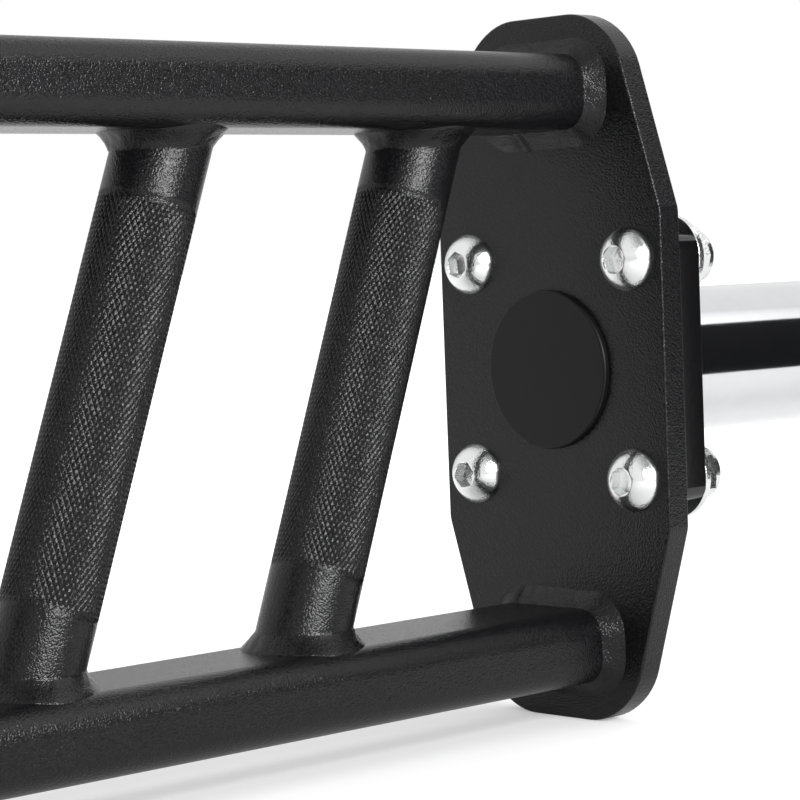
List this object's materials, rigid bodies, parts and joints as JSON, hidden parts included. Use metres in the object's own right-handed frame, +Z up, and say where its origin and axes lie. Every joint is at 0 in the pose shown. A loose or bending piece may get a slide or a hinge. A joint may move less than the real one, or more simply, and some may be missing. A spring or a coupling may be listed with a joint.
{
  "type": "swiss bar",
  "caption": "Multi-grip press bar: two welded rails, tilted knurled grips, bolted flanges and rotating chromed sleeves.",
  "frame": {"origin": "centre of the bar's footprint, on the plane that the feet of the two end plates stand on", "axes": "+X along the bar, +Y across it, +Z up from the lower rail to the upper rail"},
  "size_m": [1.8554, 0.1006, 0.2326],
  "materials": {
    "frame_paint": "fine-textured black powder coat",
    "flange_gloss": "smooth gloss black enamel",
    "sleeve_chrome": "polished chrome plate",
    "bolt_zinc": "bright zinc plate",
    "cap_plastic": "satin moulded plastic",
    "bushing_bronze": "machined bronze",
    "plain_steel": "oiled steel"
  },
  "bodies": {
    "frame": {"upper_rail": "frame_paint", "lower_rail": "frame_paint", "grip_right_1": "frame_paint", "grip_right_2": "frame_paint", "grip_right_3": "frame_paint", "grip_right_4": "frame_paint", "end_plate_right": "frame_paint", "centre_cap_right": "cap_plastic", "sleeve_mount_right": "flange_gloss", "bolt_right_1": "bolt_zinc", "washer_right_1": "bolt_zinc", "lock_nut_right_1": "bolt_zinc", "bolt_right_2": "bolt_zinc", "washer_right_2": "bolt_zinc", "lock_nut_right_2": "bolt_zinc", "bolt_right_3": "bolt_zinc", "washer_right_3": "bolt_zinc", "lock_nut_right_3": "bolt_zinc", "bolt_right_4": "bolt_zinc", "washer_right_4": "bolt_zinc", "lock_nut_right_4": "bolt_zinc", "thrust_washer_right": "bushing_bronze", "end_washer_right": "plain_steel", "retaining_ring_right": "plain_steel", "grip_left_1": "frame_paint", "grip_left_2": "frame_paint", "grip_left_3": "frame_paint", "grip_left_4": "frame_paint", "end_plate_left": "frame_paint", "centre_cap_left": "cap_plastic", "sleeve_mount_left": "flange_gloss", "bolt_left_1": "bolt_zinc", "washer_left_1": "bolt_zinc", "lock_nut_left_1": "bolt_zinc", "bolt_left_2": "bolt_zinc", "washer_left_2": "bolt_zinc", "lock_nut_left_2": "bolt_zinc", "bolt_left_3": "bolt_zinc", "washer_left_3": "bolt_zinc", "lock_nut_left_3": "bolt_zinc", "bolt_left_4": "bolt_zinc", "washer_left_4": "bolt_zinc", "lock_nut_left_4": "bolt_zinc", "thrust_washer_left": "bushing_bronze", "end_washer_left": "plain_steel", "retaining_ring_left": "plain_steel"},
    "sleeve_right": {"sleeve_right": "sleeve_chrome", "inner_bushing_right": "bushing_bronze", "outer_bushing_right": "bushing_bronze", "end_plug_right": "cap_plastic"},
    "sleeve_left": {"sleeve_left": "sleeve_chrome", "inner_bushing_left": "bushing_bronze", "outer_bushing_left": "bushing_bronze", "end_plug_left": "cap_plastic"}
  },
  "joints": [
    {"name": "sleeve_right_spin", "type": "hinge", "parent": "frame", "child": "sleeve_right", "pos_m": [0.7175, 0, 0.1163], "axis": [1, 0, 0], "continuous": true},
    {"name": "sleeve_left_spin", "type": "hinge", "parent": "frame", "child": "sleeve_left", "pos_m": [-0.7175, 0, 0.1163], "axis": [1, 0, 0], "continuous": true}
  ]
}
